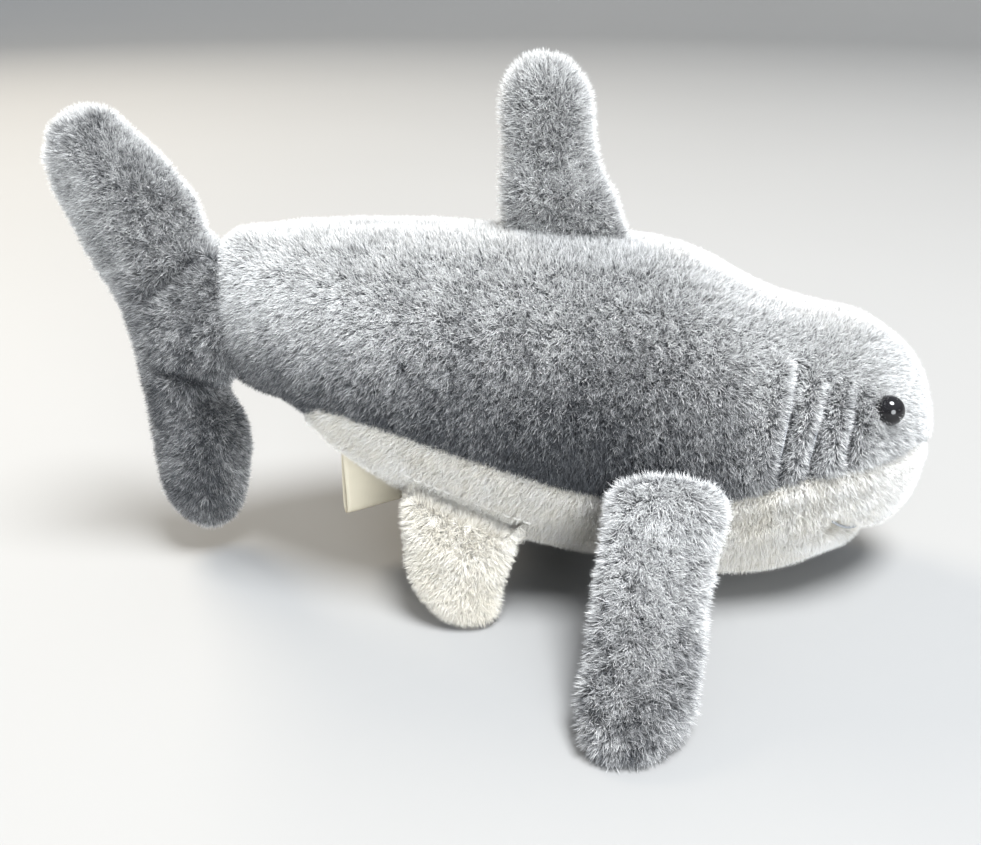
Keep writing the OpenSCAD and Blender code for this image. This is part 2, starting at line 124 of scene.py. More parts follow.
class PlushColours(bpy.types.PropertyGroup):
    """Colours of the fabrics and the fittings"""

    # The grey roots are partly the pile's own dark underlayer and partly painted shade deep in the pile
    grey_root: colour_property("Grey roots", "Grey pile at its roots", (0.055, 0.058, 0.062))
    grey_dark: colour_property("Dark grey tips", "Darkest tips of the grey pile", (0.085, 0.09, 0.098))
    grey_pale: colour_property("Silver tips", "Palest tips of the grey pile", (0.98, 0.98, 0.975))
    grey_backing: colour_property("Grey backing", "Backing of the grey pile", (0.30, 0.31, 0.32))
    # The cream of the white roots is painted shade deep in the white pile; the white backing also takes
    # this colour
    white_root: colour_property("White roots", "White pile at its roots", (0.76, 0.735, 0.68))
    white_tip: colour_property("White tips", "White pile at its tips", (0.92, 0.92, 0.92))
    eye: colour_property("Eyes", "Moulded eyes", (0.004, 0.004, 0.005))
    label: colour_property("Label", "Woven tape label", (0.72, 0.66, 0.52))
    fibrefill: colour_property("Fibrefill", "Polyester fibrefill", (0.85, 0.84, 0.80))
    floor: colour_property("Floor", "Pale studio floor", (0.27, 0.27, 0.268))


def sizes():
    return bpy.context.scene.plush_sizes


def colours():
    return bpy.context.scene.plush_colours


def opaque(colour):
    return (*colour, 1.0)


# Node trees


class Wire:
    """One output of a node, on which Python arithmetic can be written"""

    def __init__(self, web, socket):
        self.web, self.socket = web, socket

    def maths(self, operation, *values):
        return self.web.node("ShaderNodeMath", {"operation": operation}, dict(enumerate(values)))

    def __add__(self, other):
        return self.maths("ADD", self, other)

    __radd__ = __add__

    def __sub__(self, other):
        return self.maths("SUBTRACT", self, other)

    def __rsub__(self, other):
        return self.maths("SUBTRACT", other, self)

    def __mul__(self, other):
        return self.maths("MULTIPLY", self, other)

    __rmul__ = __mul__

    def __rtruediv__(self, other):
        return self.maths("DIVIDE", other, self)

    def __pow__(self, other):
        return self.maths("POWER", self, other)

    def within(self, low, high):
        return self.maths("MINIMUM", self.maths("MAXIMUM", self, low), high)

    def other(self, name):
        """Another output of the same node."""
        return Wire(self.web, self.socket.node.outputs[name])


class Web:
    """Adds nodes to one material or geometry tree"""

    def __init__(self, tree):
        self.tree = tree

    def node(self, kind, settings=None, values=None, output=0):
        """Adds a node, with its settings first and then its sockets' values or links."""
        made = self.tree.nodes.new(kind)
        for key, value in (settings or {}).items():
            if key == "stops":
                ramp = made.color_ramp.elements
                for i, (place, tone) in enumerate(value):
                    stop = ramp[i] if i < 2 else ramp.new(place)
                    stop.position, stop.color = place, tone
            else:
                setattr(made, key, value)
        for key, value in (values or {}).items():
            if isinstance(value, Wire):
                self.tree.links.new(value.socket, made.inputs[key])
            else:
                made.inputs[key].default_value = value
        return Wire(self, made.outputs[output]) if made.outputs else None

    def mixed(self, share, a, b):
        """Colour a turned into colour b by share."""
        return self.node("ShaderNodeMix", {"data_type": "RGBA"}, {0: share, 6: a, 7: b}, 2)

    def vector(self, operation, *values):
        return self.node("ShaderNodeVectorMath", {"operation": operation}, dict(enumerate(values)))

    def scaled(self, vector, share):
        return self.node("ShaderNodeVectorMath", {"operation": "SCALE"}, {0: vector, 3: share})

    def attribute(self, name):
        """A number that the mesh carries, in a material."""
        return self.node("ShaderNodeAttribute", {"attribute_name": name}).other("Fac")

    def place(self):
        return self.node("ShaderNodeTexCoord").other("Object")

    def noise(self, scale, detail=3.0):
        values = {"Vector": self.place(), "Scale": scale, "Detail": detail}
        return self.node("ShaderNodeTexNoise", values=values)

    def bands(self, scale, way="DIAGONAL", distortion=0.0):
        """Stripes, in a material."""
        return self.node(
            "ShaderNodeTexWave",
            {"wave_type": "BANDS", "bands_direction": way},
            {"Vector": self.place(), "Scale": scale, "Distortion": distortion},
        ).other("Fac")

    def bump(self, height, distance, strength=1.0):
        values = {"Height": height, "Distance": distance, "Strength": strength}
        return self.node("ShaderNodeBump", values=values)

    def carried(self, name, kind="FLOAT"):
        """An attribute of the points, in a geometry tree."""
        return self.node("GeometryNodeInputNamedAttribute", {"data_type": kind}, {"Name": name})

    def stored(self, geometry, name, value, kind="FLOAT", domain="INSTANCE"):
        return self.node(
            "GeometryNodeStoreNamedAttribute",
            {"data_type": kind, "domain": domain},
            {"Geometry": geometry, "Name": name, "Value": value},
        )

    def chance(self, low, high, seed):
        """A random number, or a random vector if low and high are vectors."""
        single = isinstance(low, float)
        sockets = (2, 3) if single else (0, 1)
        return self.node(
            "FunctionNodeRandomValue",
            {"data_type": "FLOAT" if single else "FLOAT_VECTOR"},
            {sockets[0]: low, sockets[1]: high, "Seed": seed},
            1 if single else 0,
        )

    def close(self, geometry, finish):
        """Ends a geometry tree with its material."""
        made = self.node("GeometryNodeSetMaterial", values={"Geometry": geometry, "Material": finish})
        end = self.tree.nodes.new("NodeGroupOutput")
        self.tree.links.new(made.socket, end.inputs[0])


def finish_of(name, build, **constants):
    """A material. build(web) gives the shader's varying inputs, and constants are the same all over."""
    material = bpy.data.materials.get(name)
    if material:
        return material
    material = bpy.data.materials.new(name)
    material.use_nodes = True
    material.node_tree.nodes.clear()
    web = Web(material.node_tree)
    values = {key.replace("_", " ").title(): value for key, value in constants.items()}
    values.update(build(web))
    if "Specular Ior Level" in values:
        values["Specular IOR Level"] = values.pop("Specular Ior Level")
    shader = web.node("ShaderNodeBsdfPrincipled", values=values)
    web.node("ShaderNodeOutputMaterial", values={"Surface": shader})
    return material


def pile_finish(name, root, dark, pale):
    """Pile: dark at the roots, partly the pile's own darker underlayer and partly painted shade deep
    among the tufts, and at the tips a colour between dark and pale for each tuft.
    """

    def build(web):
        shade, along = web.attribute("shade"), web.attribute("along")
        tip = web.mixed(shade, opaque(dark), opaque(pale))
        # Darker towards the roots: partly the pile's own underlayer, partly painted shade among the
        # tufts
        return {"Base Color": web.mixed(along ** 0.8, opaque(root), tip)}

    return finish_of(name, build, roughness=0.8, specular_ior_level=0.25)


def grey_pile():
    c = colours()
    return pile_finish("grey_pile", c.grey_root, c.grey_dark, c.grey_pale)


def white_pile():
    c = colours()
    # The cream end of the white tips shows where the white tone is low, and that tone includes painted
    # shade
    cream = tuple(a * b for a, b in zip(c.white_tip, (0.86, 0.82, 0.73)))
    return pile_finish("white_pile", c.white_root, cream, c.white_tip)


def knit(name, colour):
    """The knitted backing under the pile."""

    def build(web):
        loops = web.bands(900.0, distortion=3.0)
        fuzz = web.noise(700.0)
        deep = tuple(0.6 * x for x in colour)
        return {
            "Base Color": web.mixed(0.5 * loops + 0.5 * fuzz, opaque(deep), opaque(colour)),
            "Normal": web.bump(loops + fuzz, 0.2 * MM),
        }

    return finish_of(name, build, roughness=0.9, specular_ior_level=0.2)


def moulded_eye():
    def build(web):
        smudge = web.noise(260.0, 4.0)
        return {
            "Base Color": web.mixed(smudge, opaque(colours().eye), (0.012, 0.011, 0.012, 1)),
            "Roughness": 0.05 + 0.12 * smudge ** 2.0,
            "Normal": web.bump(web.noise(90.0), 0.05 * MM, 0.15),
        }

    return finish_of(
        "eye_gloss", build, specular_ior_level=0.3, coat_weight=0.25, coat_roughness=0.03
    )


def moulded_washer():
    def build(web):
        grain = web.noise(600.0)
        return {
            "Base Color": web.mixed(grain, (0.66, 0.65, 0.62, 1), (0.78, 0.77, 0.74, 1)),
            "Roughness": 0.35 + 0.25 * grain,
            "Normal": web.bump(grain, 0.05 * MM, 0.4),
        }

    return finish_of("washer_nylon", build)


def twisted_thread(name, colour):
    """Plied thread, whose plies show as slanting ridges."""

    def build(web):
        plies = web.bands(420.0, distortion=1.5)
        lint = web.noise(1500.0)
        deep = tuple(0.45 * x for x in colour)
        return {
            "Base Color": web.mixed(0.7 * plies + 0.3 * lint, opaque(deep), opaque(colour)),
            "Roughness": 0.6 + 0.2 * lint,
            "Normal": web.bump(plies, 0.15 * MM),
        }

    return finish_of(name, build)


def seam_thread(white):
    if white:
        return twisted_thread("white_thread", (0.80, 0.79, 0.76))
    return twisted_thread("grey_thread", (0.12, 0.13, 0.14))


def loose_fill():
    def build(web):
        clumps, fibres = web.noise(120.0, 2.0), web.noise(1400.0, 6.0)
        deep = tuple(0.75 * x for x in colours().fibrefill)
        return {
            "Base Color": web.mixed(clumps, opaque(deep), opaque(colours().fibrefill)),
            "Normal": web.bump(fibres + 2.0 * clumps, 0.4 * MM),
        }

    return finish_of("fibrefill", build, roughness=0.95)


def woven_tape():
    """Satin tape: fine crossed ribs, a little yellowed."""

    def build(web):
        weave = web.bands(1100.0, "Z") * 0.6 + web.bands(700.0, "X") * 0.4
        age = web.noise(160.0)
        c = colours().label
        return {
            "Base Color": web.mixed(
                0.35 * weave + 0.65 * age, opaque(tuple(0.82 * x for x in c)), opaque(c)
            ),
            "Roughness": 0.45 + 0.2 * age,
            "Normal": web.bump(weave, 0.06 * MM, 0.6),
        }

    return finish_of("label_satin", build)


def studio_floor():
    def build(web):
        cloud = web.noise(3.0)
        c = colours().floor
        return {"Base Color": web.mixed(cloud, opaque(tuple(0.95 * x for x in c)), opaque(c))}

    return finish_of("studio_floor", build, roughness=0.7)


# Meshes


def new_object(name, mesh):
    made = bpy.data.objects.new(name, mesh)
    bpy.context.scene.collection.objects.link(made)
    return made


def settle(obj):
    """Turns obj's modifiers into plain mesh."""
    graph = bpy.context.evaluated_depsgraph_get()
    old, obj.data = obj.data, bpy.data.meshes.new_from_object(
        obj.evaluated_get(graph), preserve_all_data_layers=True, depsgraph=graph
    )
    obj.modifiers.clear()
    bpy.data.meshes.remove(old)
    return obj


def discard(obj):
    mesh = obj.data
    bpy.data.objects.remove(obj)
    bpy.data.meshes.remove(mesh)


def paint(mesh, finish):
    mesh.materials.clear()
    mesh.materials.append(finish)


def shade_smooth(mesh):
    mesh.polygons.foreach_set("use_smooth", [True] * len(mesh.polygons))


def points_of(mesh):
    flat = np.empty(len(mesh.vertices) * 3, np.float32)
    mesh.vertices.foreach_get("co", flat)
    return flat.reshape(-1, 3).astype(float)


def move_points(mesh, points):
    mesh.vertices.foreach_set("co", points.astype(np.float32).ravel())
    mesh.update()


def normals_of(mesh):
    flat = np.empty(len(mesh.vertices) * 3, np.float32)
    mesh.vertex_normals.foreach_get("vector", flat)
    return flat.reshape(-1, 3).astype(float)


def edges_of(mesh):
    flat = np.empty(len(mesh.edges) * 2, np.int32)
    mesh.edges.foreach_get("vertices", flat)
    return flat.reshape(-1, 2)


# Shares of a smoothing step: out and back again, so that a shape keeps its size, or out only
KEEPS_SIZE = (0.5, -0.52)
PLAIN = (0.5,)


def averaged(values, edges, times, shares=KEEPS_SIZE):
    """Values smoothed over the mesh's edges."""
    count = np.bincount(edges.ravel(), minlength=len(values)).clip(1)
    if values.ndim > 1:
        count = count[:, None]
    for _ in range(times):
        for share in shares:
            total = np.zeros_like(values)
            np.add.at(total, edges[:, 0], values[edges[:, 1]])
            np.add.at(total, edges[:, 1], values[edges[:, 0]])
            values = values + share * (total / count - values)
    return values


def store(mesh, name, values):
    """Gives the mesh a number or a vector for each point."""
    kind = "FLOAT" if values.ndim == 1 else "FLOAT_VECTOR"
    old = mesh.attributes.get(name)
    if old:
        mesh.attributes.remove(old)
    layer = mesh.attributes.new(name, kind, "POINT")
    layer.data.foreach_set("value" if values.ndim == 1 else "vector", values.astype(np.float32).ravel())


def smoothstep(x):
    x = np.clip(x, 0, 1)
    return x * x * (3 - 2 * x)


def bell(x, width):
    return np.exp(-((x / width) ** 2))


def ripple(points, spans, seed):
    """Smooth noise from -1 to 1 whose swells are about spans long in x, y and z."""
    rng = np.random.default_rng(seed)
    total = np.zeros(len(points))
    for _ in range(9):
        way = rng.normal(size=3) * (2.0 / np.array(spans))
        total += np.sin(points @ way * 2 + rng.uniform(0, 6.28))
    return np.clip(total / 3.2, -1, 1)


def node_surface(*names):
    """The CAD nodes' faces, for finding what lies near."""
    points, faces = [], []
    for name in names:
        mesh, start = NODES[name].data, len(points)
        points += [v.co.copy() for v in mesh.vertices]
        faces += [[start + i for i in p.vertices] for p in mesh.polygons]
    return BVHTree.FromPolygons(points, faces)


def distance_to(surface, points):
    return np.array([surface.find_nearest(Vector(p))[3] for p in points])


def outermost(mesh):
    """Leaves only the island that takes up the most room."""
    bm = bmesh.new()
    bm.from_mesh(mesh)
    left, best, best_size = set(bm.verts), [], -1.0
    while left:
        island, front = [], [left.pop()]
        while front:
            v = front.pop()
            island.append(v)
            for e in v.link_edges:
                w = e.other_vert(v)
                if w in left:
                    left.discard(w)
                    front.append(w)
        xs = [v.co.x + v.co.z for v in island]
        if max(xs) - min(xs) > best_size:
            best, best_size = island, max(xs) - min(xs)
    keep = set(best)
    bmesh.ops.delete(bm, geom=[v for v in bm.verts if v not in keep], context="VERTS")
    bmesh.ops.recalc_face_normals(bm, faces=bm.faces)
    bm.to_mesh(mesh)
    bm.free()
    mesh.update()


def solid_skin(name, nodes, voxel, plugs=()):
    """The outside of some CAD nodes as one even, rounded mesh."""
    bm = bmesh.new()
    for node in nodes:
        bm.from_mesh(NODES[node].data)
    for node in plugs:
        first = len(bm.verts)
        bm.from_mesh(NODES[node].data)
        bm.verts.ensure_lookup_table()
        plug = bm.verts[first:]
        centre = sum((v.co for v in plug), Vector()) / len(plug)
        for v in plug:
            v.co = centre + (v.co - centre) * 0.75
    mesh = bpy.data.meshes.new(name)
    bm.to_mesh(mesh)
    bm.free()
    skin = new_object(name, mesh)
    voxels = skin.modifiers.new("voxels", "REMESH")
    voxels.mode, voxels.voxel_size, voxels.use_smooth_shade = "VOXEL", voxel, True
    settle(skin)
    outermost(skin.data)
    move_points(skin.data, averaged(points_of(skin.data), edges_of(skin.data), 12))
    return skin


def wall(mesh):
    """How thick the shape is under each point."""
    bm = bmesh.new()
    bm.from_mesh(mesh)
    tree = BVHTree.FromBMesh(bm)
    bm.free()
    found = []
    for p, n in zip(points_of(mesh), normals_of(mesh)):
        p, n = Vector(p), Vector(n)
        hit = tree.ray_cast(p - n * 0.0003, -n)
        found.append(hit[3] if hit[3] is not None else 1.0)
    return np.array(found)


def sink(mesh, depth, share=0.32, steps=3):
    """Moves the surface in by depth, or by a share of the thickness where that is less."""
    edges = edges_of(mesh)
    amount = averaged(np.minimum(depth, share * wall(mesh)), edges, 4, PLAIN)
    for _ in range(steps):
        moved = points_of(mesh) - normals_of(mesh) * (amount / steps)[:, None]
        move_points(mesh, averaged(moved, edges, 1))


# How far from a sewn thread its pull is looked for, along the surface and through it
PULL_REACH = 16 * MM
PULL_DEPTH = 9 * MM


def press(mesh, node, depth, width, ridge=0.0, ridge_back=0.0):
    """Draws the surface in along a thread and raises a fold behind it. Gives each point's nearness."""
    points, out = points_of(mesh), normals_of(mesh)
    thread, surface = points_of(NODES[node].data), node_surface(node)
    low, high = thread.min(0) - PULL_REACH, thread.max(0) + PULL_REACH
    near = np.all((points > low) & (points < high), axis=1)
    closeness = np.zeros(len(points))
    for i in np.where(near)[0]:
        gap = points[i] - np.array(surface.find_nearest(Vector(points[i]))[0])
        if abs(gap @ out[i]) > PULL_DEPTH:
            continue
        flat = gap - out[i] * (gap @ out[i])
        closeness[i] = bell(np.linalg.norm(flat), width)
        lift = ridge * bell(np.linalg.norm(flat - np.array([-ridge_back, 0, 0])), 1.3 * width)
        points[i] += out[i] * (lift - depth * closeness[i])
    move_points(mesh, points)
    return closeness


# The pile


def open_tree(name, sockets):
    """A geometry tree with named inputs. Gives its web, and each input's wire and identifier."""
    tree = bpy.data.node_groups.new(name, "GeometryNodeTree")
    names = {}
    for title, kind in sockets.items():
        socket = tree.interface.new_socket(title, in_out="INPUT", socket_type="NodeSocket" + kind)
        names[title] = socket.identifier
    tree.interface.new_socket("Geometry", in_out="OUTPUT", socket_type="NodeSocketGeometry")
    web = Web(tree)
    given = tree.nodes.new("NodeGroupInput")
    return web, {title: Wire(web, given.outputs[title]) for title in sockets}, names


def pile_tree():
    """Tufts on a backing, which carries out, nap, pile, tone and region at each of its points."""
    web, given, names = open_tree(
        "plush_pile",
        {
            "Backing": "Geometry",
            "Tuft": "Object",
            "Tufts per area": "Float",
            "Length": "Float",
            "Width": "Float",
            "Lean": "Float",
            "Scatter": "Float",
            "Clump size": "Float",
            "Clump lean": "Float",
            "Tone spread": "Float",
            "Seed": "Int",
            "Finish": "Material",
        },
    )

    def chance(low, high, salt):
        return web.chance(low, high, given["Seed"] + salt)

    def chance_way(salt):
        return web.chance((-1, -1, -1), (1, 1, 1), given["Seed"] + salt)

    points = web.node(
        "GeometryNodeDistributePointsOnFaces",
        {"distribute_method": "RANDOM"},
        {"Mesh": given["Backing"], "Density": given["Tufts per area"], "Seed": given["Seed"]},
    )
    inside = web.node(
        "FunctionNodeCompare",
        {"data_type": "FLOAT", "operation": "GREATER_THAN"},
        {0: web.carried("region"), 1: 0.0},
    )
    points = web.node(
        "GeometryNodeSeparateGeometry", {"domain": "POINT"}, {"Geometry": points, "Selection": inside}
    )
    out = web.carried("out", "FLOAT_VECTOR")
    clumps = web.node(
        "ShaderNodeTexNoise", values={"Scale": 1.0 / given["Clump size"], "Detail": 1.0}, output=1
    )
    clump = web.scaled(web.vector("SUBTRACT", clumps, (0.5, 0.5, 0.5)), given["Clump lean"])
    way = web.vector("ADD", out, web.scaled(web.carried("nap", "FLOAT_VECTOR"), given["Lean"]))
    way = web.vector("ADD", way, clump)
    way = web.vector("ADD", way, web.scaled(chance_way(1), given["Scatter"]))
    turn = web.node("FunctionNodeAlignRotationToVector", {"axis": "Z"}, {"Vector": way})
    facing = web.vector("ADD", out, web.scaled(chance_way(2), 0.75))
    turn = web.node(
        "FunctionNodeAlignRotationToVector",
        {"axis": "Y", "pivot_axis": "Z"},
        {"Rotation": turn, "Vector": facing},
    )
    width = given["Width"] * chance(0.7, 1.3, 3)
    length = given["Length"] * web.carried("pile") * chance(0.72, 1.12, 4)
    size = web.node("ShaderNodeCombineXYZ", values={0: width, 1: width, 2: length})
    tuft = web.node("GeometryNodeObjectInfo", values={"Object": given["Tuft"]}).other("Geometry")
    tufts = web.node(
        "GeometryNodeInstanceOnPoints",
        values={"Points": points, "Instance": tuft, "Rotation": turn, "Scale": size},
    )
    lock = web.node("ShaderNodeTexNoise", values={"Scale": 1.3 / given["Clump size"], "Detail": 2.0})
    shade = web.carried("tone") + chance(-0.5, 0.5, 5) * given["Tone spread"] + (lock - 0.5) * 2.0
    tufts = web.stored(tufts, "shade", shade.within(0.0, 1.0))
    stray = web.vector("ADD", web.scaled(clump, 0.5), web.scaled(chance_way(6), 0.45))
    lie = web.vector("ADD", out, stray)
    tufts = web.stored(tufts, "lie", web.vector("NORMALIZE", lie), "FLOAT_VECTOR")
    real = web.node("GeometryNodeRealizeInstances", values={"Geometry": tufts})
    map_u = web.carried("shade") * 0.94 + 0.03 + web.carried("across") * 0.012
    map_v = web.carried("along") * 0.94 + 0.03
    place = web.node("ShaderNodeCombineXYZ", values={0: map_u, 1: map_v})
    mapped = web.stored(real, "OFBake", place, "FLOAT2", "CORNER")
    soft = web.node(
        "GeometryNodeSetMeshNormal",
        {"mode": "FREE", "domain": "POINT"},
        {"Mesh": mapped, "Custom Normal": web.carried("lie", "FLOAT_VECTOR")},
    )
    web.close(soft, given["Finish"])
    return web.tree, names


def tuft_shape():
    """One tuft, a blade that is 1 wide at its root and 1 long."""
    mesh = bpy.data.meshes.new("tuft")
    mesh.from_pydata([(-0.5, 0, 0), (0.5, 0, 0), (0, 0, 1)], [], [(0, 2, 1)])
    store(mesh, "along", np.array([0.0, 0.0, 1.0]))
    store(mesh, "across", np.array([-0.5, 0.5, 0.0]))
    return new_object("tuft", mesh)


PILE = {}


def grow(skin, name, finish, length=1.0, width=1.0, lean=0.32, scatter=0.45, clump=0.9,
         clump_size=1.7 * MM, spread=0.6, region=None, salt=0):
    """Grows a pile on a skin and gives it as one mesh."""
    if not PILE:
        PILE["tree"], PILE["names"] = pile_tree()
        PILE["tuft"] = tuft_shape()
        PILE["tuft"].hide_render = True
    if region is None:
        region = np.ones(len(skin.data.vertices))
    store(skin.data, "region", region)
    s = sizes()
    pile = new_object(name, skin.data.copy())
    modifier = pile.modifiers.new("pile", "NODES")
    modifier.node_group = PILE["tree"]
    settings = {
        "Tuft": PILE["tuft"],
        "Tufts per area": s.tufts_per_mm2 / MM ** 2,
        "Length": s.pile_length * length,
        "Width": s.tuft_width * width,
        "Lean": lean,
        "Scatter": scatter,
        "Clump size": clump_size,
        "Clump lean": clump * 2.0,
        "Tone spread": spread,
        "Seed": s.seed + salt,
        "Finish": finish,
    }
    for title, value in settings.items():
        modifier[PILE["names"][title]] = value
    settle(pile)
    for spare in ("out", "nap", "tone", "pile", "region", "across", "lie"):
        layer = pile.data.attributes.get(spare)
        if layer:
            pile.data.attributes.remove(layer)
    return pile


def brush(mesh, nap, strength=1.0):
    """Stores which way is out and which way the pile lies."""
    out = normals_of(mesh)
    nap = np.broadcast_to(np.asarray(nap, float), out.shape)
    flat = nap - out * np.sum(nap * out, axis=1)[:, None]
    size = np.linalg.norm(nap, axis=1)[:, None] + 1e-9
    store(mesh, "out", out)
    store(mesh, "nap", flat / size * strength)


# The body


def body_panels(skin, regions):
    """Cuts the body's skin into its panels and gives each a wall."""
    made = {}
    for name, region in regions.items():
        panel = new_object(name, skin.data.copy())
        bm = bmesh.new()
        bm.from_mesh(panel.data)
        bm.verts.ensure_lookup_table()
        stray = [f for f in bm.faces if np.mean([region[v.index] for v in f.verts]) <= 0]
        bmesh.ops.delete(bm, geom=stray, context="FACES")
        bm.to_mesh(panel.data)
        bm.free()
        thick = panel.modifiers.new("wall", "SOLIDIFY")
        thick.thickness, thick.offset = 0.8 * MM, -1
        settle(panel)
        made[name] = panel
    return made


def make_body():
    skin = solid_skin(
        "body_skin",
        ["side_panel_right", "side_panel_left", "belly_panel", "body_stuffing"],
        1.6 * MM,
        ["eye_right", "eye_left", "eye_washer_right", "eye_washer_left"],
    )
    mesh = skin.data
    sink(mesh, sizes().backing_depth)
    points = points_of(mesh)
    seam = distance_to(node_surface("belly_panel"), points) - distance_to(
        node_surface("side_panel_right", "side_panel_left"), points
    )
    edges = edges_of(mesh)
    seam = averaged(seam, edges, 2, PLAIN)
    nose = bell(np.linalg.norm(points - points[points[:, 0].argmax()], axis=1), 10 * MM)
    move_points(mesh, points + nose[:, None] * (averaged(points, edges, 24, PLAIN) - points))
    for side in SIDES:
        press(mesh, f"gill_tuck_threads_{side}", 3.2 * MM, 2.8 * MM, 1.9 * MM, 4.6 * MM)
    mouth = press(mesh, "mouth_thread", 3.0 * MM, 2.4 * MM)
    gills = sum(press(mesh, f"gill_tuck_threads_{side}", 0.0, 2.7 * MM) for side in SIDES)
    points, out = points_of(mesh), normals_of(mesh)
    top = (out[:, 2] > 0.3) & (seam > 0)
    ridge = bell(points[:, 1], 2.0 * MM) * top
    groove = bell(seam, 1.6 * MM)
    points = points - out * (0.9 * MM * groove + 0.5 * MM * ridge)[:, None]
    points += out * (0.5 * MM * ripple(points, (30 * MM,) * 3, 3))[:, None]
    points -= out * (1.2 * MM * smoothstep(-seam / (8 * MM)))[:, None]
    sockets = np.zeros(len(points))
    for side in SIDES:
        low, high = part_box(f"eye_{side}")
        centre = np.array((low + high) / 2)
        near = bell(np.linalg.norm(points - centre, axis=1), 5.5 * MM)
        points += out * (1.2 * MM * near)[:, None]
        sockets = np.maximum(sockets, near)
    move_points(mesh, points)
    height = (points[:, 2] - points[:, 2].min()) / np.ptp(points[:, 2])
    long = (points[:, 0] - points[:, 0].min()) / np.ptp(points[:, 0])
    # Painted light: the grey pile is lighter towards the top of the body, where the light from above
    # falls, and darker low on the sides; it also grows lighter towards the head
    tone = -0.22 + 1.30 * smoothstep((height - 0.42) / 0.56) + 0.95 * smoothstep((long - 0.53) / 0.30)
    tone += 0.09 * ripple(points, (9 * MM, 30 * MM, 40 * MM), 11)
    tone += 0.07 * ripple(points, (26 * MM,) * 3, 12)
    # Painted shade: darker in the gill tucks, around the eyes, in the belly seam's groove and along the
    # back's seam, where shade falls; in the gill tucks this is partly the darker base fabric showing
    tone -= 0.70 * gills + 0.20 * sockets + 0.12 * groove + 0.05 * ridge
    pile = 1 - 0.28 * groove - 0.30 * gills - 0.2 * ridge - 0.45 * mouth
    # Whiter towards the snout; painted shade darkens the white pile towards cream in the mouth's crease
    white_tone_and_shade = 0.50 + 0.50 * smoothstep((long - 0.72) / 0.20) - 0.7 * mouth
    white_tone_and_shade += 0.16 * ripple(points, (12 * MM,) * 3, 5)
    rear_swell(mesh)
    creases = tail_creases(mesh)
    # Painted shade: darker in the folds beside the tail's root
    tone -= 0.3 * creases
    store(mesh, "pile", np.clip(pile - 0.2 * creases, 0.4, 1))
    regions = {
        "side_plush_right": np.minimum(seam, -points[:, 1]),
        "side_plush_left": np.minimum(seam, points[:, 1]),
        "belly_plush": -seam,
    }
    c = colours()
    panels = body_panels(skin, regions)
    grey_knit, white_knit = knit("grey_backing", c.grey_backing), knit("white_backing", c.white_root)
    brush(mesh, (-0.45, 0, -0.9))
    for i, side in enumerate(SIDES):
        store(mesh, "tone", tone)
        name = f"side_plush_{side}"
        pile = grow(skin, f"side_pile_{side}", grey_pile(), region=regions[name], salt=10 + i)
        dress(panels[name], pile, grey_knit, "torso", [f"side_panel_{side}"])
    brush(mesh, (-1.0, 0, 0.0))
    store(mesh, "tone", white_tone_and_shade)
    pile = grow(skin, "belly_pile", white_pile(), region=regions["belly_plush"], length=1.05,
                lean=0.45, scatter=0.5, spread=0.35, salt=20)
    dress(panels["belly_plush"], pile, white_knit, "torso", ["belly_panel"])
    discard(skin)


def dress(backing, pile, knitted, body, nodes, blend=None):
    paint(backing.data, knitted)
    shade_smooth(backing.data)
    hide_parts(*nodes)
    for piece in (backing, pile):
        if blend:
            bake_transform(piece)
        else:
            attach(piece, body)


def rear_swell(mesh):
    """Fills out the body's rear end, where the side panels meet the tail."""
    points = points_of(mesh)
    hinge = np.array(JOINTS["tail_wag"]["pos_m"], float)
    ahead, up = points[:, 0] - hinge[0], points[:, 2] - hinge[2]
    full = np.exp(-np.clip(ahead, 0, None) / (6.5 * MM))
    points[:, 1] += np.tanh(points[:, 1] / (1.0 * MM)) * 11 * MM * full * bell(up, 24 * MM)
    points[:, 2] += 5 * MM * np.clip(1 - ahead / (18 * MM), 0, 1) ** 1.3 * smoothstep(up / (20 * MM))
    move_points(mesh, averaged(points, edges_of(mesh), 3))


def tail_creases(mesh, depth=2.2 * MM, width=2.6 * MM):
    """Presses in the folds that run from the tail onto the body. Gives how near each point is."""
    points, out = points_of(mesh), normals_of(mesh)
    flat = (points - np.array(JOINTS["tail_wag"]["pos_m"], float))[:, [0, 2]]
    near = np.full(len(points), 1.0)
    for line in TAIL_CREASES:
        corners = np.array(line) * MM
        for a, b in zip(corners, corners[1:]):
            share = np.clip((flat - a) @ (b - a) / ((b - a) @ (b - a)), 0, 1)
            near = np.minimum(near, np.linalg.norm(flat - a - share[:, None] * (b - a), axis=1))
    closeness = bell(near, width) * smoothstep((np.abs(out[:, 1]) - 0.2) / 0.4)
    move_points(mesh, points - out * (depth * closeness)[:, None])
    return closeness


# The fins


# The folds beside the tail's root, in mm behind (-) or ahead of its hinge and above it
TAIL_CREASES = [[(-22, 8), (-2, 22), (9, 33)], [(-20, -17), (0, -24), (13, -29)]]
